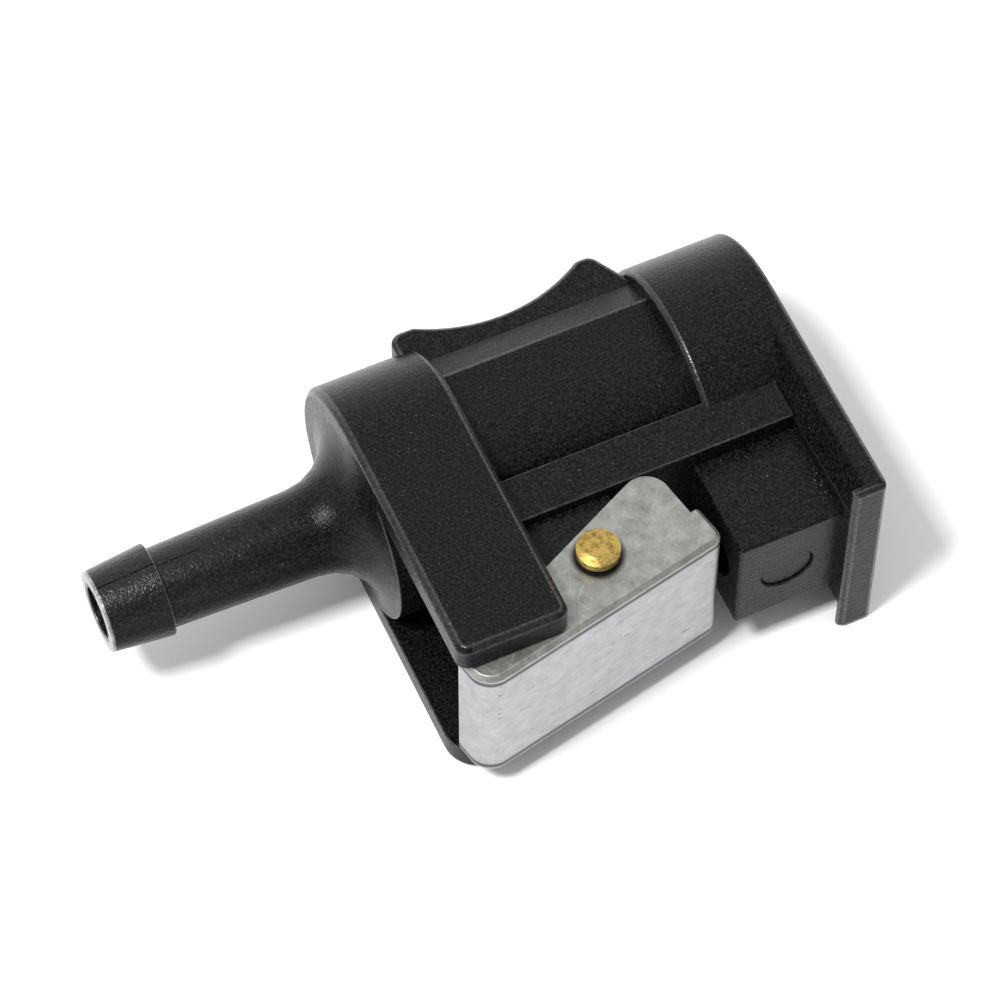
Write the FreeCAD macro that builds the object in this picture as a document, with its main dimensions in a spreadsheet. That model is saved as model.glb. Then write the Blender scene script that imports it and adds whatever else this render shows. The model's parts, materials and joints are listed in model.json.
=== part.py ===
"""Female two-hole fuel hose connector with a sprung latch lever.

Millimetres. The origin is on the fuel axis, in the plane of the mating face.
+X runs along the fuel axis out of the mating face, -Y points to the latch lever,
and +Z is up as the connector lies on its side.
"""
import FreeCAD, Part
import math
import os
import re

import Sketcher

SIZES = {
    # Lengths along the fuel axis, from the mating face back to the barb
    "flange_thickness": 3.5,
    "collar_length": 7.4,
    "barrel_length": 21.6,
    "yoke_length": 11.2,
    "stem_length": 20.2,
    "barb_length": 6.2,
    # Hose stem
    "hose_bore_radius": 2.6,
    "barb_tip_radius": 4.05,
    "barb_shoulder_radius": 4.65,
    "stem_radius": 4.0,
    "stem_root_radius": 4.4,
    "stem_flare_radius": 5.5,
    # Yoke and its two arms
    "half_height": 12.3,
    "round_offset": 0.35,
    "arm_reach": 24.7,
    "lower_arm_reach": 24.2,
    "arm_thickness": 3.1,
    "core_radius": 10.9,
    "yoke_edge_bevel": 0.55,
    "arm_corner_radius": 1.2,
    "lower_arm_corner_radius": 3.3,
    # Barrel with its flat crown and the finger saddle at the back
    "barrel_radius": 9.5,
    "crown_back": 5.0,
    "facet_back": 8.3,
    "saddle_half_width": 7.6,
    "saddle_lap": 2.1,
    "saddle_rear_height": 12.6,
    "saddle_rear_land": 2.7,
    "saddle_front_height": 13.1,
    "saddle_front_land": 1.6,
    "saddle_front_run": 3.6,
    "saddle_foot_height": 9.7,
    "scoop_radius": 17.0,
    "saddle_tip_radius": 1.3,
    "saddle_edge_bevel": 0.4,
    # Rib under the lever
    "rib_inner": 7.45,
    "rib_outer": 12.25,
    "rib_half_height": 8.9,
    # Mating flange and guide block
    "flange_reach": 24.6,
    "flange_rim_land": 0.7,
    "flange_rim_radius": 1.5,
    "flange_rim_slope": 65,
    "flange_end_wall": 0.9,
    "flange_end_bevel": 0.45,
    "collar_edge_bevel": 0.35,
    "mating_edge_bevel": 0.3,
    "block_length": 10.5,
    "block_out": 22.6,
    "block_half_height": 6.6,
    "block_edge_radius": 0.35,
    "guide_hole_radius": 3.1,
    "mark_radius": 2.7,
    "mark_depth": 0.28,
    "mark_from_block_back": 5.2,
    # Latch lever, folded from sheet
    "sheet": 1.0,
    "lever_side_clearance": 0.35,
    "lever_tilt": 11.6,
    "web_from_pivot": 5.3,
    "finger_length": 16.8,
    "hook_length": 10.8,
    "hook_tab_depth": 4.0,
    "lobe_radius": 2.4,
    "flange_taper": 13.7,
    "stop_clearance": 0.06,
    "fold_bevel": 0.45,
    "finger_bend_radius": 2.4,
    "hook_bend_radius": 1.1,
    "notch_radius": 2.1,
    # Pivot lug and pin
    "pivot_back": 26.9,
    "pivot_out": 18.5,
    "lug_radius": 4.0,
    "lug_side_clearance": 0.25,
    "pin_radius": 1.5,
    "pin_running_clearance": 0.05,
    "pin_head_radius": 2.1,
    "pin_head_edge": 0.8,
    "pin_head_dome": 0.4,
    "pin_head_gap": 0.6,
    "pin_foot_gap": 0.15,
    # Lever spring and its pocket in the yoke core
    "spring_pocket_radius": 3.1,
    "spring_pocket_floor": 7.5,
    "spring_pocket_from_yoke_back": 5.4,
    "lever_spring_radius": 2.3,
    "lever_spring_wire": 0.35,
    "lever_spring_turns": 8.0,
    # Check valve behind the mating face
    "port_radius": 4.1,
    "retainer_radius": 7.4,
    "retainer_length": 3.2,
    "chamber_radius": 6.4,
    "chamber_depth": 30.0,
    "gland_length": 2.7,
    "port_seal_section": 1.225,
    "port_seal_clearance": 0.05,
    "seat_length": 8.1,
    "valve_seal_thickness": 1.4,
    "valve_seal_inner_radius": 2.6,
    "valve_seal_outer_radius": 5.3,
    "poppet_head_radius": 5.6,
    "poppet_head_length": 1.8,
    "poppet_stem_radius": 1.9,
    "poppet_stem_length": 5.4,
    "poppet_hub_radius": 1.4,
    "wing_reach": 3.85,
    "wing_half_thickness": 0.7,
    "wing_length": 3.0,
    "valve_spring_radius": 3.3,
    "valve_spring_wire": 0.35,
    "valve_spring_turns": 6.0,
}

# Stations behind the mating face, each a sum of the sizes above
COLLAR_BACK = "flange_thickness + collar_length"
YOKE_FRONT = COLLAR_BACK + " + barrel_length"
YOKE_BACK = YOKE_FRONT + " + yoke_length"
BARB_SHOULDER = YOKE_BACK + " + stem_length"
BARB_TIP = BARB_SHOULDER + " + barb_length"
BLOCK_BACK = "flange_thickness + block_length"
SEAT_FRONT = "retainer_length + gland_length"
SEAT_BACK = SEAT_FRONT + " + seat_length"
SEAL_BACK = SEAT_BACK + " + valve_seal_thickness"
POPPET_BACK = SEAL_BACK + " + poppet_head_length"

# Fits between neighbouring pieces
SLOT_HALF = "(half_height - arm_thickness)"
LEVER_HALF = f"({SLOT_HALF} - lever_side_clearance)"
LUG_HALF = f"({LEVER_HALF} - sheet - lug_side_clearance)"
GUIDE_OUT = "(rib_outer + block_out) / 2"
PIN_HOLE_RADIUS = "(pin_radius + pin_running_clearance)"
SPRING_BACK = f"({YOKE_BACK} - spring_pocket_from_yoke_back)"

NEARLY = 0.01
FLARE_STEPS = (18, 36, 54, 72)
COIL_STEPS = 10
SIZE_NAME = re.compile(r"[a-z]+(?:_[a-z]+)*")


def make_sheet(document):
    """Put every size in its own named cell."""
    sheet = document.addObject("Spreadsheet::Sheet", "sizes")
    for row, (name, value) in enumerate(SIZES.items(), start=1):
        sheet.set(f"A{row}", name.replace("_", " "))
        sheet.set(f"B{row}", str(value))
        sheet.setAlias(f"B{row}", name)
    document.recompute()
    return sheet


def bound(text):
    """Point every size name of an expression at its cell."""
    return SIZE_NAME.sub(
        lambda found: "sizes." + found.group(0) if found.group(0) in SIZES else found.group(0), text
    )


def value_of(text):
    """Return the number that an expression of size names has now."""
    result = DOCUMENT.sizes.evalExpression(bound(text))
    return float(getattr(result, "Value", result))


def new_body(label):
    """Start one sub-part."""
    body = DOCUMENT.addObject("PartDesign::Body", label)
    body.Label = label
    return body


def new_sketch(body, name, plane, offset="0"):
    """Attach a sketch to one of the body's own origin planes, moved along its normal."""
    sketch = body.newObject("Sketcher::SketchObject", f"{body.Label}_{name}")
    support = [f for f in body.Origin.OriginFeatures if f.Role == plane + "_Plane"][0]
    sketch.AttachmentSupport = [(support, "")]
    sketch.MapMode = "FlatFace"
    sketch.setExpression("AttachmentOffset.Base.z", bound(offset))
    return sketch


def fix_distance(sketch, kind, geometry, point, text):
    """Hold one coordinate of a point at an expression, measured from the sketch's origin."""
    amount = value_of(text)
    if abs(amount) < 1e-9:
        axis = -2 if kind == "DistanceX" else -1
        sketch.addConstraint(Sketcher.Constraint("PointOnObject", geometry, point, axis))
        return
    ends = (-1, 1, geometry, point) if amount > 0 else (geometry, point, -1, 1)
    index = sketch.addConstraint(Sketcher.Constraint(kind, *ends, abs(amount)))
    signed = text if amount > 0 else f"-({text})"
    sketch.setExpression(f"Constraints[{index}]", bound(signed))


def arc_between(start, end, radius, side):
    """Return the short arc of a radius between two points, bulging to the left or right."""
    chord = end - start
    middle = (start + end) * 0.5
    left = FreeCAD.Vector(-chord.y, chord.x, 0).normalize()
    sagitta = radius - (radius**2 - (chord.Length / 2) ** 2) ** 0.5
    bulge = left if side == "left" else -left
    return Part.Arc(start, middle + bulge * sagitta, end)


def draw_outline(sketch, corners):
    """Draw a closed outline of (x, y) or (x, y, radius, side) corners.

    A corner with a radius starts an arc to the next one.
    """
    points = [FreeCAD.Vector(value_of(c[0]), value_of(c[1]), 0) for c in corners]
    count = len(corners)
    for index, corner in enumerate(corners):
        start, end = points[index], points[(index + 1) % count]
        if len(corner) == 2:
            sketch.addGeometry(Part.LineSegment(start, end), False)
        else:
            sketch.addGeometry(arc_between(start, end, value_of(corner[2]), corner[3]), False)
    start_point = []
    for index, corner in enumerate(corners):
        edge = sketch.Geometry[index]
        starts_first = edge.StartPoint.distanceToPoint(points[index]) < NEARLY
        start_point.append(1 if starts_first else 2)
    for index in range(count):
        after = (index + 1) % count
        sketch.addConstraint(
            Sketcher.Constraint("Coincident", index, 3 - start_point[index], after, start_point[after])
        )
    for index, corner in enumerate(corners):
        fix_distance(sketch, "DistanceX", index, start_point[index], corner[0])
        fix_distance(sketch, "DistanceY", index, start_point[index], corner[1])
        if len(corner) > 2:
            added = sketch.addConstraint(Sketcher.Constraint("Radius", index, value_of(corner[2])))
            sketch.setExpression(f"Constraints[{added}]", bound(corner[2]))


def draw_box(sketch, left, right, bottom, top):
    """Draw a rectangle between two pairs of expressions."""
    draw_outline(sketch, [(left, bottom), (right, bottom), (right, top), (left, top)])


def draw_circle(sketch, radius, x="0", y="0"):
    """Draw a circle, with its centre at an expression pair."""
    centre = FreeCAD.Vector(value_of(x), value_of(y), 0)
    index = sketch.addGeometry(
        Part.Circle(centre, FreeCAD.Vector(0, 0, 1), value_of(radius)), False
    )
    if value_of(x) == 0 and value_of(y) == 0:
        sketch.addConstraint(Sketcher.Constraint("Coincident", index, 3, -1, 1))
    else:
        fix_distance(sketch, "DistanceX", index, 3, x)
        fix_distance(sketch, "DistanceY", index, 3, y)
    added = sketch.addConstraint(Sketcher.Constraint("Radius", index, value_of(radius)))
    sketch.setExpression(f"Constraints[{added}]", bound(radius))


def pad(sketch, length, both_sides=False):
    """Raise a sketch along its normal, or by half the length each way."""
    body = sketch.getParentGeoFeatureGroup()
    feature = body.newObject("PartDesign::Pad", sketch.Name + "_pad")
    feature.Profile = sketch
    feature.setExpression("Length", bound(length))
    if both_sides:
        feature.Midplane = True
    sketch.Visibility = False
    DOCUMENT.recompute()
    return feature


def pocket(sketch, length, reverse=False, both_sides=False):
    """Cut a sketch against its normal, or along it when reversed."""
    body = sketch.getParentGeoFeatureGroup()
    before = body.Shape.Volume
    feature = body.newObject("PartDesign::Pocket", sketch.Name + "_pocket")
    feature.Profile = sketch
    feature.Type = "Length"
    feature.setExpression("Length", bound(length))
    feature.Reversed = reverse
    if both_sides:
        feature.Midplane = True
    DOCUMENT.recompute()
    if body.Shape.Volume > before - NEARLY:
        raise RuntimeError(f"{feature.Name} cuts nothing")
    return feature


def revolve(sketch, axis="H_Axis", cut=False):
    """Turn a half profile round one axis of its sketch."""
    body = sketch.getParentGeoFeatureGroup()
    before = body.Shape.Volume if cut else 0
    kind = "Groove" if cut else "Revolution"
    feature = body.newObject("PartDesign::" + kind, sketch.Name + "_turned")
    feature.Profile = sketch
    feature.ReferenceAxis = (sketch, [axis])
    feature.Angle = 360
    DOCUMENT.recompute()
    if cut and body.Shape.Volume > before - NEARLY:
        raise RuntimeError(f"{feature.Name} cuts nothing")
    return feature


def round_edges(body, name, radius, chosen):
    """Round every edge of the body whose middle point and box pass a test."""
    names = []
    for index, edge in enumerate(body.Tip.Shape.Edges, start=1):
        first, last = edge.ParameterRange
        if chosen(edge.valueAt((first + last) / 2), edge.BoundBox):
            names.append(f"Edge{index}")
    if not names:
        raise RuntimeError(f"no edge for {name}")
    base = body.Tip
    fillet = body.newObject("PartDesign::Fillet", f"{body.Label}_{name}")
    fillet.Base = (base, names)
    fillet.setExpression("Radius", bound(radius))
    DOCUMENT.recompute()
    if "Invalid" in fillet.State:
        raise RuntimeError(f"{fillet.Name} can't round {names}")
    return fillet


def bevel_edges(body, name, size, chosen):
    """Bevel every edge of the body whose middle point and box pass a test."""
    names = []
    for index, edge in enumerate(body.Tip.Shape.Edges, start=1):
        first, last = edge.ParameterRange
        if chosen(edge.valueAt((first + last) / 2), edge.BoundBox):
            names.append(f"Edge{index}")
    if not names:
        raise RuntimeError(f"no edge for {name}")
    base = body.Tip
    bevel = body.newObject("PartDesign::Chamfer", f"{body.Label}_{name}")
    bevel.Base = (base, names)
    bevel.setExpression("Size", bound(size))
    DOCUMENT.recompute()
    if "Invalid" in bevel.State:
        raise RuntimeError(f"{bevel.Name} can't bevel {names}")
    return bevel


def near(first, second):
    """Say whether two coordinates are the same place."""
    return abs(first - second) < NEARLY


def make_yoke():
    """A round-backed block slotted for the lever, with a round core between its two arms."""
    body = new_body("yoke_form")
    back = f"-({YOKE_BACK})"
    ring = new_sketch(body, "yoke_back", "YZ", back)
    draw_circle(ring, "half_height", x="round_offset")
    pad(ring, "yoke_length")
    arms = new_sketch(body, "yoke_arms", "YZ", back)
    draw_outline(
        arms,
        [
            ("round_offset", "half_height"),
            ("-arm_reach", "half_height"),
            ("-arm_reach", "0"),
            ("-lower_arm_reach", "0"),
            ("-lower_arm_reach", "-half_height"),
            ("round_offset", "-half_height"),
        ],
    )
    pad(arms, "yoke_length")
    slot = new_sketch(body, "yoke_slot", "YZ", back)
    draw_box(slot, "-(arm_reach + arm_thickness)", "0", f"-{SLOT_HALF}", SLOT_HALF)
    pocket(slot, "yoke_length", reverse=True)
    top = value_of("half_height")
    upper_end = -value_of("arm_reach")
    lower_end = -value_of("lower_arm_reach")
    ends = (-value_of(YOKE_BACK), -value_of(YOKE_FRONT))

    def upper_corner(middle, box):
        on_end = any(near(middle.x, x) for x in ends)
        return on_end and near(middle.y, upper_end) and middle.z > 0 and box.ZLength > 1

    def lower_corner(middle, box):
        on_end = any(near(middle.x, x) for x in ends)
        return on_end and near(middle.y, lower_end) and middle.z < 0 and box.ZLength > 1

    round_edges(body, "upper_corners", "arm_corner_radius", upper_corner)
    round_edges(body, "lower_corners", "lower_arm_corner_radius", lower_corner)

    def outer_edge(middle, box):
        on_end = any(near(box.XMin, x) and near(box.XMax, x) for x in ends)
        level_face = near(abs(middle.z), top) and box.ZLength < NEARLY
        round_back = near(box.ZLength, top * 2) and middle.y > 0
        return level_face or (on_end and round_back)

    bevel_edges(body, "yoke_edges", "yoke_edge_bevel", outer_edge)
    core = new_sketch(body, "yoke_core", "YZ", back)
    draw_circle(core, "core_radius")
    pad(core, "yoke_length")
    return body


def make_stem():
    """The hose stem: barb, tapering stem and the flare that runs into the yoke."""
    body = new_body("stem_form")
    flare = "stem_flare_radius"
    flare_start = f"-({YOKE_BACK} + {flare})"
    flare_top = f"stem_root_radius + {flare}"
    inside = f"-({YOKE_FRONT} + yoke_length / 2)"
    profile = new_sketch(body, "stem", "XY")
    draw_outline(
        profile,
        [
            (f"-({BARB_TIP})", "0"),
            (f"-({BARB_TIP})", "barb_tip_radius"),
            (f"-({BARB_SHOULDER})", "barb_shoulder_radius"),
            (f"-({BARB_SHOULDER})", "stem_radius"),
            (flare_start, "stem_root_radius"),
            *[
                (
                    f"{flare_start} + {flare} * sin({angle} * 1 deg)",
                    f"{flare_top} - {flare} * cos({angle} * 1 deg)",
                )
                for angle in FLARE_STEPS
            ],
            (f"-({YOKE_BACK})", flare_top),
            (inside, flare_top),
            (inside, "0"),
        ],
    )
    revolve(profile)
    return body


def make_barrel():
    """The barrel: round to the lever side, flat on its crowns, with a facet down to the saddle."""
    body = new_body("barrel_form")
    start = f"-({YOKE_FRONT})"
    tube = new_sketch(body, "barrel", "YZ", start)
    draw_circle(tube, "barrel_radius")
    pad(tube, "barrel_length")
    crown = new_sketch(body, "crown", "YZ", start)
    draw_outline(
        crown,
        [
            ("0", "barrel_radius"),
            ("crown_back", "barrel_radius"),
            ("facet_back", "saddle_half_width"),
            ("facet_back", "-saddle_half_width"),
            ("crown_back", "-barrel_radius"),
            ("0", "-barrel_radius"),
        ],
    )
    pad(crown, "barrel_length")
    return body


def make_saddle():
    """The finger rest behind the barrel: a plate with a scoop between two raised ends."""
    body = new_body("saddle_form")
    rear = f"-({YOKE_FRONT} + saddle_lap)"
    front = f"-({COLLAR_BACK})"
    plate = new_sketch(body, "saddle", "XY")
    draw_outline(
        plate,
        [
            (rear, "0"),
            (rear, "saddle_rear_height"),
            (f"{rear} + saddle_rear_land", "saddle_rear_height", "scoop_radius", "right"),
            (f"{front} - saddle_front_run", "saddle_front_height"),
            (f"{front} - saddle_front_run + saddle_front_land", "saddle_front_height"),
            (front, "saddle_foot_height"),
            (front, "0"),
        ],
    )
    pad(plate, "2 * saddle_half_width", both_sides=True)
    low = value_of("saddle_foot_height")
    half = value_of("saddle_half_width")

    def tip(middle, box):
        upright = near(box.ZLength, 2 * half)
        return upright and middle.y > low + 1 and box.XLength < NEARLY

    round_edges(body, "saddle_tips", "saddle_tip_radius", tip)

    def rim(middle, box):
        on_face = near(abs(middle.z), half) and box.ZLength < NEARLY
        return on_face and middle.y > low + 0.2

    bevel_edges(body, "saddle_rim", "saddle_edge_bevel", rim)
    return body


def make_rib():
    """The rib that stops the lever, and the round-ended lug that carries its pin."""
    body = new_body("rib_form")
    rib = new_sketch(body, "rib", "YZ", f"-({YOKE_FRONT})")
    draw_box(rib, "-rib_outer", "-rib_inner", "-rib_half_height", "rib_half_height")
    pad(rib, f"{YOKE_FRONT} - flange_thickness")
    lug = new_sketch(body, "lug", "XY")
    draw_outline(
        lug,
        [
            (f"-({YOKE_FRONT})", "-rib_inner"),
            (f"-({YOKE_FRONT})", "-(pivot_out + lug_radius)"),
            ("-pivot_back", "-(pivot_out + lug_radius)", "lug_radius", "right"),
            ("-(pivot_back - lug_radius)", "-pivot_out"),
            ("-(pivot_back - lug_radius)", "-rib_inner"),
        ],
    )
    pad(lug, f"2 * {LUG_HALF}", both_sides=True)
    return body


def make_collar():
    """The round collar, which runs on as the round back of the mating flange."""
    body = new_body("collar_form")
    collar = new_sketch(body, "collar", "YZ", f"-({COLLAR_BACK})")
    draw_circle(collar, "half_height", x="round_offset")
    pad(collar, COLLAR_BACK)
    collar_back = -value_of(COLLAR_BACK)

    def rear_edge(middle, box):
        return near(middle.x, collar_back) and box.XLength < NEARLY

    bevel_edges(body, "collar_edge", "collar_edge_bevel", rear_edge)

    def front_edge(middle, box):
        return near(middle.x, 0) and box.XLength < NEARLY

    bevel_edges(body, "collar_front", "mating_edge_bevel", front_edge)
    return body


def make_block():
    """The block round the guide hole."""
    body = new_body("block_form")
    block = new_sketch(body, "block", "YZ", f"-({BLOCK_BACK})")
    draw_box(block, "-block_out", "-rib_inner", "-block_half_height", "block_half_height")
    pad(block, "block_length")
    block_out = -value_of("block_out")
    block_back = -value_of(BLOCK_BACK)
    block_half = value_of("block_half_height")

    def block_edge(middle, box):
        outside = near(middle.y, block_out) and box.YLength < NEARLY
        flank = near(middle.x, block_back) and near(abs(middle.z), block_half)
        return (outside and not near(middle.x, -value_of("flange_thickness"))) or flank

    round_edges(body, "block_edges", "block_edge_radius", block_edge)
    return body


def make_flange():
    """The square part of the mating flange: a rim that slopes off, and a full end wall."""
    body = new_body("flange_form")
    slope = "(flange_rim_slope * 1 deg)"
    turn_x = f"(flange_rim_land + flange_rim_radius * sin({slope}))"
    turn_z = f"(half_height - flange_rim_radius * (1 - cos({slope})))"
    foot_z = f"({turn_z} - (flange_thickness - {turn_x}) * tan({slope}))"
    flange = new_sketch(body, "flange", "XZ", "-round_offset")
    draw_outline(
        flange,
        [
            ("0", "half_height"),
            ("-flange_rim_land", "half_height", "flange_rim_radius", "right"),
            (f"-{turn_x}", turn_z),
            ("-flange_thickness", foot_z),
            ("-flange_thickness", f"-{foot_z}"),
            (f"-{turn_x}", f"-{turn_z}", "flange_rim_radius", "right"),
            ("-flange_rim_land", "-half_height"),
            ("0", "-half_height"),
        ],
    )
    pad(flange, "flange_reach + round_offset")
    wall = new_sketch(body, "end_wall", "XZ", "flange_reach - flange_end_wall")
    draw_box(wall, "-flange_thickness", "0", "-half_height", "half_height")
    pad(wall, "flange_end_wall")
    end = -value_of("flange_reach")
    joint = value_of("round_offset")

    def end_edge(middle, box):
        return near(middle.y, end) and box.YLength < NEARLY

    bevel_edges(body, "flange_end", "flange_end_bevel", end_edge)

    def front_edge(middle, box):
        return near(middle.x, 0) and box.XLength < NEARLY and middle.y < joint - NEARLY

    bevel_edges(body, "flange_front", "mating_edge_bevel", front_edge)
    return body


def make_round_hole(label, radius, depth, rotation, places):
    """A cylinder that cuts one round hole, starting from its own place."""
    hole = DOCUMENT.addObject("Part::Cylinder", label)
    hole.setExpression("Radius", bound(radius))
    hole.setExpression("Height", bound(depth))
    hole.Placement.Rotation = rotation
    for axis, text in places.items():
        hole.setExpression("Placement.Base." + axis, bound(text))
    return hole


def make_fuel_way():
    """The fuel way: retainer seat, valve chamber and hose bore on one axis."""
    body = new_body("fuel_way")
    fuel_way = new_sketch(body, "half", "XY")
    draw_outline(
        fuel_way,
        [
            ("0", "0"),
            ("0", "retainer_radius"),
            ("-retainer_length", "retainer_radius"),
            ("-retainer_length", "chamber_radius"),
            ("-chamber_depth", "chamber_radius"),
            ("-chamber_depth", "hose_bore_radius"),
            (f"-({BARB_TIP})", "hose_bore_radius"),
            (f"-({BARB_TIP})", "0"),
        ],
    )
    revolve(fuel_way)
    return body


def make_moulding():
    """The one-piece black moulding: its forms joined, less every hole in it."""
    forms = DOCUMENT.addObject("Part::MultiFuse", "moulding_forms")
    forms.Shapes = [
        make_yoke(),
        make_stem(),
        make_barrel(),
        make_saddle(),
        make_rib(),
        make_collar(),
        make_block(),
        make_flange(),
    ]
    forms.Refine = True
    outward = FreeCAD.Rotation(FreeCAD.Vector(1, 0, 0), 90)
    forward = FreeCAD.Rotation(FreeCAD.Vector(0, 1, 0), 90)
    upward = FreeCAD.Rotation()
    mark_x = f"-({BLOCK_BACK} - mark_from_block_back)"
    holes = DOCUMENT.addObject("Part::MultiFuse", "moulding_holes")
    holes.Shapes = [
        make_fuel_way(),
        make_round_hole(
            "guide_hole", "guide_hole_radius", BLOCK_BACK, forward,
            {"x": f"-({BLOCK_BACK})", "y": f"-{GUIDE_OUT}"},
        ),
        make_round_hole(
            "pin_hole", "pin_radius", f"2 * {LUG_HALF}", upward,
            {"x": "-pivot_back", "y": "-pivot_out", "z": f"-{LUG_HALF}"},
        ),
        make_round_hole(
            "ejector_mark", "mark_radius", "mark_depth", outward,
            {"x": mark_x, "y": "-(block_out - mark_depth)"},
        ),
        make_round_hole(
            "spring_pocket", "spring_pocket_radius", "core_radius - spring_pocket_floor", outward,
            {"x": f"-{SPRING_BACK}", "y": "-spring_pocket_floor"},
        ),
    ]
    moulding = DOCUMENT.addObject("Part::Cut", "connector_body")
    moulding.Label = "connector_body"
    moulding.Base = forms
    moulding.Tool = holes
    moulding.Refine = True
    DOCUMENT.recompute()
    return moulding


def make_lever():
    """The latch lever, drawn square to its own web with the pivot at its origin."""
    body = new_body("latch_lever")
    body.setExpression("Placement.Base.x", bound("-pivot_back"))
    body.setExpression("Placement.Base.y", bound("-pivot_out"))
    body.setExpression("Placement.Rotation.Angle", bound("lever_tilt * 1 deg"))
    side = new_sketch(body, "side", "XY")
    flank = "(hook_length - sheet)"
    taper = "(flange_taper * 1 deg)"
    tilt = "(lever_tilt * 1 deg)"
    lobe_x = f"({flank} - lobe_radius)"
    lobe_floor = "(pivot_out - rib_outer - stop_clearance - lobe_radius)"
    lobe_y = f"(({lobe_floor} - {lobe_x} * sin({tilt})) / cos({tilt}))"
    lobe_left = f"({lobe_x} - lobe_radius * sin({taper}))"
    lobe_top = f"({lobe_y} + lobe_radius * cos({taper}))"
    finger_root = f"({lobe_top} - (finger_length + {lobe_left}) * tan({taper}))"
    draw_outline(
        side,
        [
            ("-finger_length", "-web_from_pivot"),
            ("hook_length", "-web_from_pivot"),
            ("hook_length", "-(web_from_pivot - hook_tab_depth)"),
            (flank, "-(web_from_pivot - hook_tab_depth)"),
            (flank, lobe_y, "lobe_radius", "right"),
            (lobe_left, lobe_top),
            ("-finger_length", finger_root),
        ],
    )
    pad(side, f"2 * {LEVER_HALF}", both_sides=True)
    web = -value_of("web_from_pivot")
    half = value_of(LEVER_HALF)
    finger_tip = -value_of("finger_length")
    hook_tip = value_of("hook_length")

    def finger_bend(middle, box):
        return near(middle.y, web) and near(middle.x, finger_tip) and box.YLength < NEARLY

    def hook_bend(middle, box):
        return near(middle.y, web) and near(middle.x, hook_tip) and box.YLength < NEARLY

    def fold(middle, box):
        return near(abs(middle.z), half) and box.ZLength < NEARLY and near(box.YMin, web)

    round_edges(body, "finger_bend", "finger_bend_radius", finger_bend)
    round_edges(body, "hook_bend", "hook_bend_radius", hook_bend)
    bevel_edges(body, "folds", "fold_bevel", fold)
    inside = new_sketch(body, "inside", "XY")
    finger_inside = "-(finger_length - sheet)"
    web_inside = "-(web_from_pivot - sheet)"
    inner_bend = "(finger_bend_radius - sheet)"
    draw_outline(
        inside,
        [
            (finger_inside, f"{web_inside} + {inner_bend}", inner_bend, "right"),
            (f"{finger_inside} + {inner_bend}", web_inside),
            (flank, web_inside),
            (flank, "pivot_out - rib_outer"),
            (finger_inside, "pivot_out - rib_outer"),
        ],
    )
    pocket(inside, f"2 * ({LEVER_HALF} - sheet)", both_sides=True)
    pin = new_sketch(body, "pin_holes", "XY")
    draw_circle(pin, PIN_HOLE_RADIUS)
    pocket(pin, f"2 * half_height", both_sides=True)
    notch = new_sketch(body, "hook_notch", "YZ", "hook_length + sheet")
    guide_y = f"((pivot_out - {GUIDE_OUT}) - hook_length * sin({tilt})) / cos({tilt})"
    draw_circle(notch, "notch_radius", guide_y)
    pocket(notch, "3 * sheet")
    return body


def make_pin():
    """The brass rivet that the lever turns on, with a domed head at both ends."""
    body = new_body("pivot_pin")
    body.setExpression("Placement.Base.x", bound("-pivot_back"))
    body.setExpression("Placement.Base.y", bound("-pivot_out"))
    head = f"({LEVER_HALF} + pin_head_gap)"
    foot = f"({LEVER_HALF} + pin_foot_gap)"
    shoulder = "pin_head_radius * 0.6"
    rise = "pin_head_edge + pin_head_dome"
    profile = new_sketch(body, "half", "XZ")
    draw_outline(
        profile,
        [
            ("0", f"-({foot} + {rise})"),
            (shoulder, f"-({foot} + {rise} - 0.3 * pin_head_dome)"),
            ("pin_head_radius", f"-({foot} + pin_head_edge)"),
            ("pin_head_radius", f"-{foot}"),
            ("pin_radius", f"-{foot}"),
            ("pin_radius", head),
            ("pin_head_radius", head),
            ("pin_head_radius", f"{head} + pin_head_edge"),
            (shoulder, f"{head} + {rise} - 0.3 * pin_head_dome"),
            ("0", f"{head} + {rise}"),
        ],
    )
    revolve(profile, axis="V_Axis")
    return body


def make_ring(label, back, front, inner, outer):
    """A plain turned ring round the fuel axis."""
    body = new_body(label)
    profile = new_sketch(body, "half", "XY")
    draw_box(profile, f"-({back})", f"-({front})", inner, outer)
    revolve(profile)
    return body


def make_poppet():
    """The valve poppet: winged guide, hub for the seal, head and spring guide."""
    body = new_body("valve_poppet")
    profile = new_sketch(body, "half", "XY")
    draw_outline(
        profile,
        [
            (f"-({POPPET_BACK} + poppet_stem_length)", "0"),
            (f"-({POPPET_BACK} + poppet_stem_length)", "poppet_stem_radius"),
            (f"-({POPPET_BACK})", "poppet_stem_radius"),
            (f"-({POPPET_BACK})", "poppet_head_radius"),
            (f"-({SEAL_BACK})", "poppet_head_radius"),
            (f"-({SEAL_BACK})", "valve_seal_inner_radius"),
            (f"-({SEAT_BACK})", "valve_seal_inner_radius"),
            (f"-({SEAT_BACK})", "poppet_hub_radius"),
            (f"-({SEAT_BACK} - wing_length)", "poppet_hub_radius"),
            (f"-({SEAT_BACK} - wing_length)", "0"),
        ],
    )
    revolve(profile)
    for name, wide, tall in (
        ("level_wings", "wing_reach", "wing_half_thickness"),
        ("upright_wings", "wing_half_thickness", "wing_reach"),
    ):
        wing = new_sketch(body, name, "YZ", f"-({SEAT_BACK})")
        draw_box(wing, "-" + wide, wide, "-" + tall, tall)
        pad(wing, "wing_length")
    return body


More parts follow.
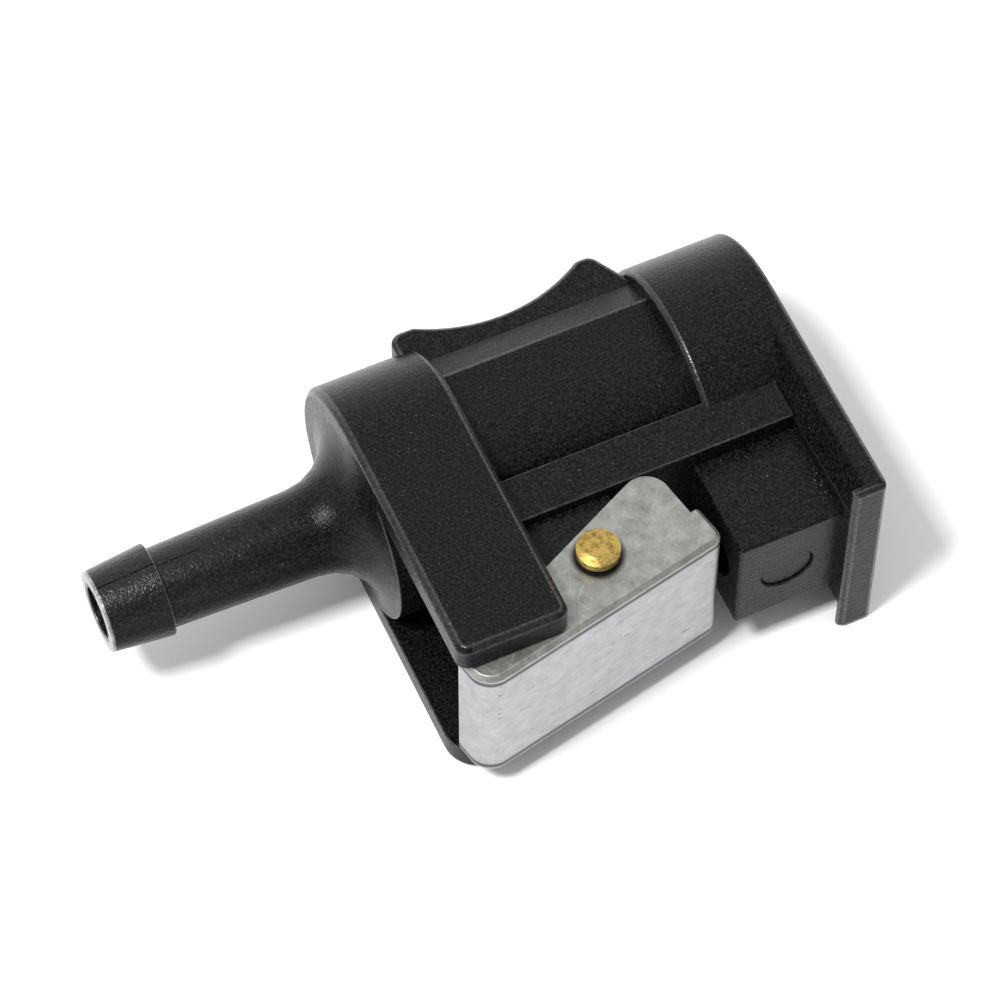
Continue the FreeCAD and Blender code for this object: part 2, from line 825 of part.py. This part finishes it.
def make_port_seal():
    """The O-ring that seals on the nipple, between the retainer and the valve seat."""
    body = new_body("port_seal")
    middle_x = "(retainer_length + gland_length / 2)"
    middle_y = "(chamber_radius - port_seal_clearance - port_seal_section)"
    profile = new_sketch(body, "half", "XY")
    draw_outline(
        profile,
        [
            (
                f"-({middle_x} + port_seal_section * cos({angle} * 1 deg))",
                f"{middle_y} + port_seal_section * sin({angle} * 1 deg)",
            )
            for angle in range(30, 390, 60)
        ],
    )
    revolve(profile)
    return body


def make_spring(label, radius, wire, turns, length, rotation, places):
    """A coil spring in short straight runs, placed with its first end on its seat."""
    coil_radius = value_of(radius)
    height = value_of(f"{length} - 2 * {wire}")
    count = round(COIL_STEPS * value_of(turns))
    points = []
    for step in range(count + 1):
        angle = 2 * math.pi * step / COIL_STEPS
        x, y = coil_radius * math.cos(angle), coil_radius * math.sin(angle)
        points.append(FreeCAD.Vector(x, y, height * step / count))
    coil = DOCUMENT.addObject("Part::Feature", label + "_line")
    coil.Shape = Part.makePolygon(points)
    section = DOCUMENT.addObject("Part::RegularPolygon", label + "_section")
    section.Polygon = 6
    section.setExpression("Circumradius", bound(wire))
    along = FreeCAD.Rotation(FreeCAD.Vector(0, 0, 1), points[1] - points[0])
    section.Placement = FreeCAD.Placement(points[0], along)
    spring = DOCUMENT.addObject("Part::Sweep", label)
    spring.Label = label
    spring.Sections = [section]
    spring.Spine = coil
    spring.Solid = True
    spring.Transition = "Right corner"
    spring.Placement.Rotation = rotation
    for axis, text in places.items():
        spring.setExpression("Placement.Base." + axis, bound(text))
    return spring


def make_lever_spring():
    """The spring between the yoke core and the lever's finger end."""
    tilt = "(lever_tilt * 1 deg)"
    web_inside = "(web_from_pivot - sheet)"
    arm = f"({SPRING_BACK} - pivot_back - lever_spring_radius - lever_spring_wire)"
    reach = f"(pivot_out + ({web_inside} + {arm} * sin({tilt})) / cos({tilt}))"
    return make_spring(
        "lever_spring",
        "lever_spring_radius",
        "lever_spring_wire",
        "lever_spring_turns",
        f"({reach} - spring_pocket_floor)",
        FreeCAD.Rotation(FreeCAD.Vector(1, 0, 0), 90),
        {"x": f"-{SPRING_BACK}", "y": "-(spring_pocket_floor + lever_spring_wire)"},
    )


def make_valve_spring():
    """The spring that holds the poppet on its seat."""
    return make_spring(
        "valve_spring",
        "valve_spring_radius",
        "valve_spring_wire",
        "valve_spring_turns",
        f"(chamber_depth - ({POPPET_BACK}))",
        FreeCAD.Rotation(FreeCAD.Vector(0, 1, 0), 90),
        {"x": "-(chamber_depth - valve_spring_wire)"},
    )


def check_and_export(pieces):
    """Stop on any failed feature or bad shape, then write one file for each sub-part."""
    DOCUMENT.recompute()
    for item in DOCUMENT.Objects:
        if "Invalid" in item.State or "Error" in item.State:
            raise RuntimeError(f"{item.Name} failed: {item.State}")
    for piece in pieces:
        shape = piece.Shape
        if shape.isNull() or not shape.isValid():
            raise RuntimeError(f"{piece.Label} has a bad shape")
        if len(shape.Solids) != 1:
            raise RuntimeError(f"{piece.Label} has {len(shape.Solids)} solids")
    os.makedirs("parts", exist_ok=True)
    for piece in pieces:
        piece.Shape.exportStep(f"parts/{piece.Label}.step")
        box = piece.Shape.BoundBox
        low = (round(box.XMin, 2), round(box.YMin, 2), round(box.ZMin, 2))
        high = (round(box.XMax, 2), round(box.YMax, 2), round(box.ZMax, 2))
        print(piece.Label, round(piece.Shape.Volume, 2), low, high)


DOCUMENT = FreeCAD.newDocument("fuel_connector")
make_sheet(DOCUMENT)
PIECES = [
    make_moulding(),
    make_lever(),
    make_pin(),
    make_lever_spring(),
    make_ring("port_retainer", "retainer_length", "0", "port_radius", "retainer_radius"),
    make_port_seal(),
    make_ring("valve_seat", SEAT_BACK, SEAT_FRONT, "port_radius", "chamber_radius"),
    make_poppet(),
    make_ring("valve_seal", SEAL_BACK, SEAT_BACK, "valve_seal_inner_radius", "valve_seal_outer_radius"),
    make_valve_spring(),
]
check_and_export(PIECES)
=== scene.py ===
"""Looks of the two-hole fuel hose connector: black moulding, folded steel lever, brass rivet."""
import json
import math

import bmesh
import bpy
from mathutils import Matrix, Vector
from mathutils.bvhtree import BVHTree
from mathutils.geometry import barycentric_transform


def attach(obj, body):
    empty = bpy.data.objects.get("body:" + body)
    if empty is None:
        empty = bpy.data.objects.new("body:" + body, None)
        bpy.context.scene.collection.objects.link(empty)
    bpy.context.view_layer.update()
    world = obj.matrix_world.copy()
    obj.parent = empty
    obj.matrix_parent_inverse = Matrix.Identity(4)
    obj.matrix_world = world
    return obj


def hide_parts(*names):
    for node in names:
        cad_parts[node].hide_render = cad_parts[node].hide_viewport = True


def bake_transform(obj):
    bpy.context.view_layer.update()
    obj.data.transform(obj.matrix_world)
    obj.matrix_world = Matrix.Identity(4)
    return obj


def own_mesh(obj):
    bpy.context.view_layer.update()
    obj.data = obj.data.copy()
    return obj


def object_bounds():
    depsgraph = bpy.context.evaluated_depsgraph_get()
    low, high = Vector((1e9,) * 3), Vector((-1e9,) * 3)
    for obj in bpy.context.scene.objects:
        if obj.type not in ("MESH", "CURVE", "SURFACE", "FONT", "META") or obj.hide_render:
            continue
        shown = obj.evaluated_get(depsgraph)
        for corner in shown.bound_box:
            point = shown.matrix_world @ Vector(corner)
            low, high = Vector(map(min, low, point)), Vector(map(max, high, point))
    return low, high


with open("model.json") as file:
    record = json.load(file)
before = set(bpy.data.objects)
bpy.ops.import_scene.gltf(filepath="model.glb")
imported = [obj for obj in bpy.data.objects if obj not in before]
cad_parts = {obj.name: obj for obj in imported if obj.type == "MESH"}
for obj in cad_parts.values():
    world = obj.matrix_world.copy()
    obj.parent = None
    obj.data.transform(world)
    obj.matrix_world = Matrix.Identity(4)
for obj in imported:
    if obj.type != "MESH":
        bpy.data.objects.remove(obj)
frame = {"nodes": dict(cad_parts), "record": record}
CAD_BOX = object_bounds()
MM = 0.001

# The camera that fits the photograph, with its right, down and forward axes
CAMERA_PLACE = Vector((-0.12558, -0.210756, 0.377261))
CAMERA_RIGHT = Vector((0.90984, -0.41494, 0.00252))
CAMERA_DOWN = Vector((-0.35428, -0.77996, -0.51589))
CAMERA_FORWARD = Vector((0.21603, 0.46849, -0.85665))
CAMERA_CLIP = (0.01, 20)
SENSOR = 36.0
LENS = 165.94

FLOOR_SIZE = 6.0
KEY_PLACE = (-0.54, -0.14, 1.08)
KEY_SIZE = (0.2, 0.2)
KEY_POWER = 14.0

WELD = 0.001 * MM

# The visible copies: how wide their edges are rounded, and in how many steps
MOULDING_EDGE = 0.16 * MM
LEVER_EDGE = 0.1 * MM
EDGE_STEPS = 3
FLAT_ANGLE = math.radians(0.5)
EDGE_ANGLE = math.radians(22)

# A corner further from the CAD's surface than this share of the edge goes back onto it
STRAY_SHARE = 0.6

# A bevel is narrow and slanted, and this share of its outline meets its neighbours at these angles
BEVEL_ANGLES = (math.radians(30), math.radians(62))
BEVEL_WIDTH = 0.9 * MM
BEVEL_SHARE = 0.3
SLANT_LIMIT = 0.95

# What a face of a copy is, and how much edge wear and painted highlight each kind gets
PLAIN, ROUNDED, BEVEL = range(3)
EDGE_WEAR_AND_HIGHLIGHT = (0.0, 1.0, 0.4)

# How near the CAD's normal is looked for, and how well normals have to agree with a face
NORMAL_REACH = 0.01 * MM
SAME_FACE = 0.94
BESIDE_LIMIT = 0.3
BLEND_LIMIT = 0.7

# The ideal round of the flare behind the yoke: its centre along and off the fuel axis
FLARE_X = -49.2 * MM
FLARE_OFF = 9.9 * MM
FLARE_RADIUS = 5.5 * MM
FLARE_SLACK = 0.15 * MM
FLARE_FACING = -0.05

# Places that the finishes and their painted highlights and shade refer to, in millimetres; pairs
# are where something starts and is full
STEM_X = (-44.0, -47.0)
SHINY_STEM_X = (-48.0, -62.0)
TIP_X, TIP_RADIUS = (-69.75, -69.9), (2.95, 3.1)
PARTING_X, PARTING_Y, PARTING_Z = (-58.0, -60.5), 0.1, (2.0, 3.0)
ARM_X = (-30.0, -32.0)
DUSTY_CORNER = Vector((-4.0, -18.5, 6.7))
MARK_X, MARK_Y, MARK_RADIUS = -8.8, (-22.2, -22.3), 2.7
PIN_X, PIN_Y, PIN_RADIUS = -26.9, -18.5, (2.2, 2.75)
FOLD_LINE = 7.85
LEVER_TILT = math.radians(11.6)

# The mix node's colour sockets, which share their names with its other kinds of socket
MIX_COLOURS, MIX_RESULT = (6, 7), 2


class Graph:
    """A node tree that is written as calls, with sizes in millimetres of the row frame."""

    def __init__(self, tree):
        self.tree = tree
        self.tree.nodes.clear()

    def feed(self, socket, value):
        """Give an input a value, or link it to another node's socket."""
        if isinstance(value, bpy.types.NodeSocket):
            self.tree.links.new(value, socket)
        else:
            socket.default_value = value

    def add(self, kind, settings=None, **inputs):
        """Add a node; inputs are values or sockets, by name with underscores for spaces."""
        node = self.tree.nodes.new(kind)
        for key, value in (settings or {}).items():
            setattr(node, key, value)
        for key, value in inputs.items():
            self.feed(node.inputs[key.replace("_", " ")], value)
        return node

    def place(self, scale=(1, 1, 1), turn=0.0):
        """Coordinates in millimetres, turned back about Z and then scaled."""
        turned = self.add(
            "ShaderNodeMapping",
            {"vector_type": "TEXTURE"},
            Vector=self.add("ShaderNodeTexCoord").outputs["Object"],
            Rotation=(0, 0, turn),
            Scale=tuple(MM / s for s in scale),
        )
        return turned.outputs["Vector"]

    def parts(self, vector):
        """The X, Y and Z of a vector."""
        return self.add("ShaderNodeSeparateXYZ", Vector=vector).outputs

    def facing(self):
        """The X, Y and Z of the surface's direction."""
        return self.parts(self.add("ShaderNodeNewGeometry").outputs["Normal"])

    def noise(self, scale, detail=2.0, roughness=0.5, place=None):
        """Noise from 0 to 1, with a number of features per millimetre."""
        vector = place or self.place()
        node = self.add(
            "ShaderNodeTexNoise", Vector=vector, Scale=scale, Detail=detail, Roughness=roughness
        )
        return node.outputs["Fac"]

    def maths(self, operation, *values):
        """One sum of one or two values or sockets."""
        node = self.add("ShaderNodeMath", {"operation": operation})
        for socket, value in zip(node.inputs, values):
            self.feed(socket, value)
        return node.outputs["Value"]

    def both(self, *shares):
        """The product of several shares."""
        result = shares[0]
        for share in shares[1:]:
            result = self.maths("MULTIPLY", result, share)
        return result

    def distance(self, *pairs):
        """How far apart two places are, from two pairs that hold the same coordinate of each."""
        gaps = [self.maths("SUBTRACT", *pair) for pair in pairs]
        return self.maths("SQRT", self.maths("ADD", *(self.both(gap, gap) for gap in gaps)))

    def span(self, value, low, high, to_low=0.0, to_high=1.0):
        """Map a value from one range to another, held at its ends."""
        node = self.add(
            "ShaderNodeMapRange",
            Value=value,
            From_Min=low,
            From_Max=high,
            To_Min=to_low,
            To_Max=to_high,
        )
        return node.outputs["Result"]

    def window(self, value, middle, half, soft):
        """1 within half of the middle, falling to 0 over the soft width."""
        off = self.maths("ABSOLUTE", self.maths("SUBTRACT", value, middle))
        return self.span(off, half, half + soft, 1.0, 0.0)

    def blend(self, share, first, second):
        """Mix two colours by a share."""
        node = self.add("ShaderNodeMix", {"data_type": "RGBA"}, Factor=share)
        for index, colour in zip(MIX_COLOURS, (first, second)):
            self.feed(node.inputs[index], (*colour, 1) if isinstance(colour, tuple) else colour)
        return node.outputs[MIX_RESULT]

    def bump(self, height, depth, strength):
        """A bump of a depth in millimetres."""
        node = self.add("ShaderNodeBump", Height=height, Strength=strength, Distance=depth * MM)
        return node.outputs["Normal"]


def new_material(name, build):
    """A material whose builder returns the inputs of its one main shader."""
    material = bpy.data.materials.new(name)
    material.use_nodes = True
    graph = Graph(material.node_tree)
    inputs = build(graph)
    shader = graph.add("ShaderNodeBsdfPrincipled", **inputs)
    graph.add("ShaderNodeOutputMaterial", Surface=shader.outputs["BSDF"])
    return material


def moulding_looks(graph):
    """Black glass-filled nylon: leathery grain, edges partly wearing pale and partly given a
    painted highlight, dust with painted glints, a painted highlight on the barb's end, painted
    shade and sheen by facing, and the marks of its mould.
    """
    x, y, z = graph.parts(graph.place())
    facing = graph.facing()

    # A pale ring on the barb's end face, partly burrs and partly a painted highlight; it also gets
    # the edges' shine
    rim = graph.span(graph.noise(1.6, 3.0), 0.3, 0.6, 0.4, 1.0)
    off = graph.distance((y, 0.0), (z, 0.0))
    tip_burrs_and_highlight = graph.both(graph.span(x, *TIP_X), rim, graph.span(off, *TIP_RADIUS))
    # Pale, shinier rounded edges and bevels: partly wear, partly a painted highlight where the lamp
    # catches them
    edge_wear_and_highlight = graph.add("ShaderNodeAttribute", {"attribute_name": "edge_wear_and_highlight"}).outputs["Fac"]
    edge_wear_and_highlight = graph.both(edge_wear_and_highlight, graph.span(graph.noise(2.2, 4.0, 0.7), 0.38, 0.66, 0.35, 1.0))
    edge_wear_and_highlight = graph.maths("MAXIMUM", edge_wear_and_highlight, tip_burrs_and_highlight)

    corner = graph.both(
        graph.window(x, DUSTY_CORNER.x, 0.25, 0.3),
        graph.window(z, DUSTY_CORNER.z, 0.3, 0.3),
        graph.window(y, DUSTY_CORNER.y, 3.5, 0.5),
    )
    # Pale specks everywhere, more in the dusty corner: partly dust, partly painted glints
    dust = graph.maths("SUBTRACT", 0.775, graph.both(corner, 0.09))
    dust_and_glint_specks = graph.maths("GREATER_THAN", graph.noise(4.2, 1.0), dust)

    parting = graph.both(
        graph.window(y, PARTING_Y, 0.03, 0.07),
        graph.span(z, *PARTING_Z),
        graph.span(x, *PARTING_X),
        graph.span(graph.noise(0.9), 0.3, 0.45),
    )
    off = graph.distance((x, MARK_X), (z, 0.0))
    ring = graph.both(graph.window(off, MARK_RADIUS, 0.07, 0.07), graph.span(y, *MARK_Y))
    line = graph.maths("MAXIMUM", parting, ring)

    fleck = graph.span(graph.noise(3.9, 2.0, 0.75), 0.42, 0.70)
    colour = graph.blend(fleck, (0.0008, 0.0009, 0.0012), (0.0175, 0.0176, 0.0180))
    # Pale paint: the edges and the barb's end ring are partly painted highlight, the specks partly
    # painted glints
    for share, most, paint in ((edge_wear_and_highlight, 0.5, 0.05), (tip_burrs_and_highlight, 0.9, 0.30), (dust_and_glint_specks, 0.6, 0.16)):
        colour = graph.blend(graph.both(share, most), colour, (paint, paint, paint))

    stem = graph.span(x, *STEM_X)
    leather = graph.both(graph.noise(1.7, 3.0, 0.6), graph.span(stem, 0.0, 1.0, 0.3, 1.3))
    height = graph.maths("ADD", graph.noise(3.6, 2.0, 0.6), leather)
    height = graph.maths("SUBTRACT", height, graph.both(line, 1.6))

    # Painted shade and sheen: the arms' front faces get a third of the shine so they look darker,
    # and faces turned towards +Y get up to half as much again
    shaded_arm_front = graph.both(graph.span(x, *ARM_X), graph.span(facing["Y"], -0.8, -0.95))
    shine = graph.both(
        graph.span(edge_wear_and_highlight, 0.0, 1.0, 0.14, 0.6),
        graph.span(line, 0.0, 1.0, 1.0, 0.1),
        graph.span(facing["Y"], 0.1, 0.5, 1.0, 1.5),
        graph.span(x, *SHINY_STEM_X, 1.0, 2.2),
        graph.span(shaded_arm_front, 0.0, 1.0, 1.0, 0.3),
    )
    return {
        "Base_Color": colour,
        "Roughness": graph.span(graph.noise(0.8, 3.0), 0.3, 0.7, 0.24, 0.31),
        "Normal": graph.bump(height, 0.055, 1.0),
        "Specular_IOR_Level": shine,
    }


def steel_looks(graph):
    """Sheet steel: a bright web rolled along its length, scratched greyer side flanges, dark
    scuffs, and painted shade along the web's bends and round the rivet's head.
    """
    x, y, z = graph.parts(graph.place())
    side = graph.span(graph.maths("ABSOLUTE", graph.facing()["Z"]), 0.15, 0.45)
    web = graph.span(side, 0.0, 0.1, 1.0, 0.0)

    rolled = graph.noise(1.0, 5.0, 0.75, graph.place((0.16, 7, 7), LEVER_TILT))
    clouds = graph.noise(0.7, 5.0, 0.65)
    along = graph.noise(1.0, 4.0, 0.7, graph.place((0.3, 5, 5), LEVER_TILT + 0.6))
    across = graph.noise(1.0, 4.0, 0.7, graph.place((5, 0.35, 5), LEVER_TILT + 0.2))
    scratches = graph.maths("ADD", along, across)
    nicks = graph.both(side, graph.span(graph.maths("MAXIMUM", along, across), 0.62, 0.69))
    dashes = graph.noise(1.0, 2.0, 0.5, graph.place((0.55, 3.2, 3.2), LEVER_TILT + 0.08))
    dashes = graph.both(graph.span(dashes, 0.71, 0.73), web)

    # Painted shade: a dark line along the web at each bend
    painted_fold_shade = graph.window(graph.maths("ABSOLUTE", z), FOLD_LINE, 0.16, 0.3)
    # Painted shadow: a dark ring on the flanges around the rivet's head
    off = graph.distance((x, PIN_X), (y, PIN_Y))
    painted_head_shadow = graph.both(side, graph.span(off, *PIN_RADIUS, 1.0, 0.0))
    # Dark paint: painted shade at the bends and round the rivet, with real dark scuffs
    scuffs_and_painted_shade = graph.maths("MAXIMUM", graph.both(painted_fold_shade, web, 0.85), painted_head_shadow)
    scuffs_and_painted_shade = graph.maths("MAXIMUM", scuffs_and_painted_shade, graph.both(dashes, 0.8))

    bright = graph.span(graph.maths("ADD", rolled, clouds), 0.75, 1.25)
    sheet = graph.blend(bright, (0.34, 0.345, 0.352), (0.49, 0.493, 0.50))
    flank = graph.blend(graph.span(clouds, 0.3, 0.7), (0.21, 0.22, 0.20), (0.37, 0.38, 0.355))
    colour = graph.blend(side, sheet, flank)
    colour = graph.blend(graph.both(nicks, 0.6), colour, (0.55, 0.55, 0.53))
    # The painted shade and the scuffs darken the steel
    colour = graph.blend(scuffs_and_painted_shade, colour, (0.03, 0.03, 0.03))

    height = graph.maths("ADD", graph.both(side, scratches), graph.both(rolled, 0.8))
    height = graph.maths("ADD", height, graph.both(clouds, 2.0))
    return {
        "Base_Color": colour,
        "Metallic": 1.0,
        "Roughness": graph.span(graph.blend(side, rolled, scratches), 0.2, 1.2, 0.36, 0.52),
        "Normal": graph.bump(height, 0.02, 0.9),
    }


def brass_looks(graph):
    """Dull brass with dark mottling."""
    spots = graph.span(graph.noise(1.6, 4.0, 0.7), 0.45, 0.68)
    fine = graph.noise(6.0, 3.0)
    return {
        "Base_Color": graph.blend(spots, (0.50, 0.35, 0.10), (0.17, 0.11, 0.03)),
        "Metallic": 1.0,
        "Roughness": graph.span(fine, 0.3, 0.7, 0.26, 0.44),
        "Normal": graph.bump(fine, 0.02, 0.5),
    }


def wire_looks(graph):
    """Bright drawn spring wire."""
    fine = graph.noise(5.0, 3.0)
    return {
        "Base_Color": graph.blend(fine, (0.45, 0.45, 0.46), (0.62, 0.62, 0.62)),
        "Metallic": 1.0,
        "Roughness": graph.span(fine, 0.3, 0.7, 0.22, 0.36),
    }


def insert_looks(graph):
    """Smooth dark moulded plastic."""
    fine = graph.noise(3.0, 3.0)
    return {
        "Base_Color": graph.blend(fine, (0.020, 0.020, 0.022), (0.032, 0.032, 0.034)),
        "Roughness": graph.span(fine, 0.3, 0.7, 0.30, 0.40),
        "Normal": graph.bump(fine, 0.01, 0.4),
    }


def seal_looks(graph):
    """Black rubber with a faint bloom."""
    fine = graph.noise(2.0, 4.0)
    return {
        "Base_Color": graph.blend(fine, (0.010, 0.010, 0.010), (0.022, 0.022, 0.021)),
        "Roughness": graph.span(fine, 0.3, 0.7, 0.45, 0.62),
        "Normal": graph.bump(fine, 0.01, 0.4),
    }


def floor_looks(graph):
    """Plain matt white paper."""
    colour = graph.blend(graph.noise(0.4), (0.90, 0.90, 0.90), (0.92, 0.92, 0.92))
    return {"Base_Color": colour, "Roughness": 0.9, "Specular_IOR_Level": 0.0}


def link(piece):
    """Put an object into the scene."""
    bpy.context.scene.collection.objects.link(piece)
    return piece


def flare_normal(place, facing):
    """The direction of the ideal flare at a place, or None where the flare isn't."""
    off = math.hypot(place.y, place.z)
    beyond = not FLARE_X - WELD < place.x < FLARE_X + FLARE_RADIUS or off > FLARE_OFF
    if beyond or facing.x > FLARE_FACING:
        return None
    inward = Vector((FLARE_X - place.x, 0, 0))
    inward += Vector((0, place.y, place.z)) * ((FLARE_OFF - off) / off)
    if abs(inward.length - FLARE_RADIUS) > FLARE_SLACK:
        return None
    return inward.normalized()


def is_outer(edge):
    """Say whether an edge lies between two faces and stands out."""
    return len(edge.link_faces) == 2 and edge.is_convex


def is_bevel(face):
    """Say whether a face is a narrow bevel along an outer edge."""
    low, high = BEVEL_ANGLES
    around = face.calc_perimeter()
    beside = sum(
        e.calc_length() for e in face.edges if is_outer(e) and low < e.calc_face_angle() < high
    )
    slanted = max(abs(part) for part in face.normal) < SLANT_LIMIT
    narrow = 2 * face.calc_area() / around < BEVEL_WIDTH
    return slanted and narrow and beside > BEVEL_SHARE * around


def cad_normals(mesh, source):
    """Normals for every face corner: the CAD's own, blended over the rounded edges."""
    source.calc_loop_triangles()
    triangles = source.loop_triangles
    places = [v.co.copy() for v in source.vertices]
    surface = BVHTree.FromPolygons(places, [tuple(t.vertices) for t in triangles])

    def at(place, facing):
        """The CAD's normal at a place, on the face that looks the given way."""
        normal, best = facing, SAME_FACE
        for spot, _, index, _ in surface.find_nearest_range(place, NORMAL_REACH):
            triangle = triangles[index]
            match = triangle.normal.dot(facing)
            if match > best:
                best = match
                corners = [places[i] for i in triangle.vertices]
                ends = [source.corner_normals[i].vector for i in triangle.loops]
                normal = barycentric_transform(spot, *corners, *ends).normalized()
        return normal

    normals = [None] * len(mesh.loops)
    known = {}
    for face in mesh.polygons:
        if face.material_index != ROUNDED:
            for corner in face.loop_indices:
                vertex = mesh.loops[corner].vertex_index
                place = mesh.vertices[vertex].co
                normals[corner] = flare_normal(place, face.normal) or at(place, face.normal)
                known.setdefault(vertex, []).append(normals[corner])
    for face in mesh.polygons:
        if face.material_index == ROUNDED:
            for corner in face.loop_indices:
                vertex = mesh.loops[corner].vertex_index
                beside = [n for n in known.get(vertex, ()) if n.dot(face.normal) > BESIDE_LIMIT]
                total = sum(beside, Vector()) if beside else mesh.vertices[vertex].normal
                blended = total.normalized()
                agrees = blended.dot(face.normal) > BLEND_LIMIT
                normals[corner] = blended if agrees else face.normal
    return normals


def edged_copy(node, name, width):
    """A copy of a node's mesh whose outer edges are rounded, held to the node's own surface."""
    source = frame["nodes"][node].data
    shape = bmesh.new()
    shape.from_mesh(source)
    surface = BVHTree.FromBMesh(shape)
    bmesh.ops.remove_doubles(shape, verts=shape.verts, dist=WELD)
    bmesh.ops.dissolve_limit(shape, angle_limit=FLAT_ANGLE, verts=shape.verts, edges=shape.edges)
    for face in shape.faces:
        face.material_index = BEVEL if is_bevel(face) else PLAIN
    rounded = bmesh.ops.bevel(
        shape,
        geom=[e for e in shape.edges if is_outer(e) and e.calc_face_angle() > EDGE_ANGLE],
        offset=width,
        offset_type="OFFSET",
        segments=EDGE_STEPS,
        profile=0.5,
        affect="EDGES",
        loop_slide=True,
    )
    for face in rounded["faces"]:
        face.material_index = ROUNDED
    low = Vector(min(v.co[axis] for v in source.vertices) for axis in range(3))
    high = Vector(max(v.co[axis] for v in source.vertices) for axis in range(3))
    for corner in shape.verts:
        place, _, _, distance = surface.find_nearest(corner.co)
        if distance > width * STRAY_SHARE:
            corner.co = place
        corner.co = Vector(min(max(c, a), b) for c, a, b in zip(corner.co, low, high))
    bmesh.ops.remove_doubles(shape, verts=shape.verts, dist=WELD)
    mesh = bpy.data.meshes.new(name)
    shape.to_mesh(mesh)
    shape.free()
    mesh.shade_smooth()
    mesh.normals_split_custom_set(cad_normals(mesh, source))
    # Each face's share of edge wear and painted highlight, read by the moulding's finish
    edge_wear_and_highlight = mesh.attributes.new("edge_wear_and_highlight", "FLOAT", "FACE")
    for face in mesh.polygons:
        edge_wear_and_highlight.data[face.index].value = EDGE_WEAR_AND_HIGHLIGHT[face.material_index]
        face.material_index = 0
    return link(bpy.data.objects.new(name, mesh))


def smooth_copy(node, name):
    """A spring's smooth copy, with its modifiers applied so that its mesh is final."""
    piece = link(bpy.data.objects.new(name, frame["nodes"][node].data.copy()))
    piece.modifiers.new("joining", "WELD").merge_threshold = WELD
    piece.modifiers.new("rounding", "SUBSURF").levels = 1
    ready = piece.evaluated_get(bpy.context.evaluated_depsgraph_get())
    piece.data = bpy.data.meshes.new_from_object(ready)
    piece.modifiers.clear()
    return piece


def dress(piece, material):
    """Give a piece its finish."""
    piece.data.materials.clear()
    piece.data.materials.append(material)


def make_materials():
    """One material for each slot of the record."""
    return {
        "moulding": new_material("black_nylon", moulding_looks),
        "lever_steel": new_material("satin_steel", steel_looks),
        "pin_brass": new_material("dull_brass", brass_looks),
        "spring_steel": new_material("spring_wire", wire_looks),
        "insert": new_material("dark_insert", insert_looks),
        "seal": new_material("black_rubber", seal_looks),
    }


def turned_to(place, axes):
    """The matrix of an object at a place, with its X, Y and Z along the given axes."""
    return Matrix.Translation(place) @ Matrix(axes).transposed().to_4x4()


def make_camera():
    """The camera of the photograph."""
    camera = link(bpy.data.objects.new("camera", bpy.data.cameras.new("camera")))
    camera.data.sensor_width = SENSOR
    camera.data.sensor_fit = "HORIZONTAL"
    camera.data.lens = LENS
    camera.data.clip_start, camera.data.clip_end = CAMERA_CLIP
    camera.matrix_world = turned_to(CAMERA_PLACE, (CAMERA_RIGHT, -CAMERA_DOWN, -CAMERA_FORWARD))
    bpy.context.scene.camera = camera


def make_floor(material):
    """The pale floor that the connector lies on."""
    half = FLOOR_SIZE / 2
    sides = ((-half, -half), (half, -half), (half, half), (-half, half))
    corners = [(x, y, CAD_BOX[0].z) for x, y in sides]
    mesh = bpy.data.meshes.new("floor")
    mesh.from_pydata(corners, [], [(0, 1, 2, 3)])
    mesh.materials.append(material)
    floor = link(bpy.data.objects.new("floor", mesh))


def make_light(name, place, size, power):
    """A softbox that faces the connector, sized along the connector's Y and across it."""
    light = bpy.data.lights.new(name, "AREA")
    light.shape = "RECTANGLE"
    light.size, light.size_y = size
    light.energy = power
    away = (Vector(place) - (CAD_BOX[0] + CAD_BOX[1]) / 2).normalized()
    along = Vector((0, 1, 0)).cross(away).normalized()
    side = away.cross(along)
    box = link(bpy.data.objects.new(name, light))
    box.matrix_world = turned_to(place, (side, away.cross(side), away))


def make_world():
    """A studio that is bright at floor level and to the right, and dimmer overhead and in front."""
    world = bpy.data.worlds.new("studio")
    world.use_nodes = True
    graph = Graph(world.node_tree)
    toward = graph.parts(graph.add("ShaderNodeTexCoord").outputs["Generated"])
    right = graph.span(toward["X"], 0.0, 0.8, 0.0, 0.3)
    overhead = graph.maths("ADD", graph.span(toward["Y"], -0.6, 0.4, 0.4, 1.0), right)
    horizon = graph.maths("ADD", graph.span(toward["Y"], -0.7, 0.1, 0.6, 1.05), right)
    low = graph.span(toward["Z"], 0.0, 0.45, 1.0, 0.0)
    rise = graph.both(low, graph.maths("SUBTRACT", horizon, overhead))
    strength = graph.maths("ADD", overhead, rise)
    background = graph.add("ShaderNodeBackground", Color=(1, 1, 1, 1), Strength=strength)
    graph.add("ShaderNodeOutputWorld", Surface=background.outputs["Background"])
    bpy.context.scene.world = world


MATERIALS = make_materials()
for part in frame["record"]["subparts"]:
    dress(frame["nodes"][part["node"]], MATERIALS[part["material_slot"]])

for node, slot, body, width in (
    ("connector_body", "moulding", "root", MOULDING_EDGE),
    ("latch_lever", "lever_steel", "lever", LEVER_EDGE),
):
    skin = edged_copy(node, node + "_skin", width)
    dress(skin, MATERIALS[slot])
    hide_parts(node)
    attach(skin, body)

lever_coil = smooth_copy("lever_spring", "lever_spring_coil")
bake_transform(lever_coil)

valve_coil = smooth_copy("valve_spring", "valve_spring_coil")
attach(valve_coil, "root")
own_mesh(valve_coil)

for coil, node in ((lever_coil, "lever_spring"), (valve_coil, "valve_spring")):
    dress(coil, MATERIALS["spring_steel"])
    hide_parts(node)

make_camera()
make_floor(new_material("white_paper", floor_looks))
make_world()
make_light("key", KEY_PLACE, KEY_SIZE, KEY_POWER)
bpy.context.scene.view_settings.view_transform = "Standard"
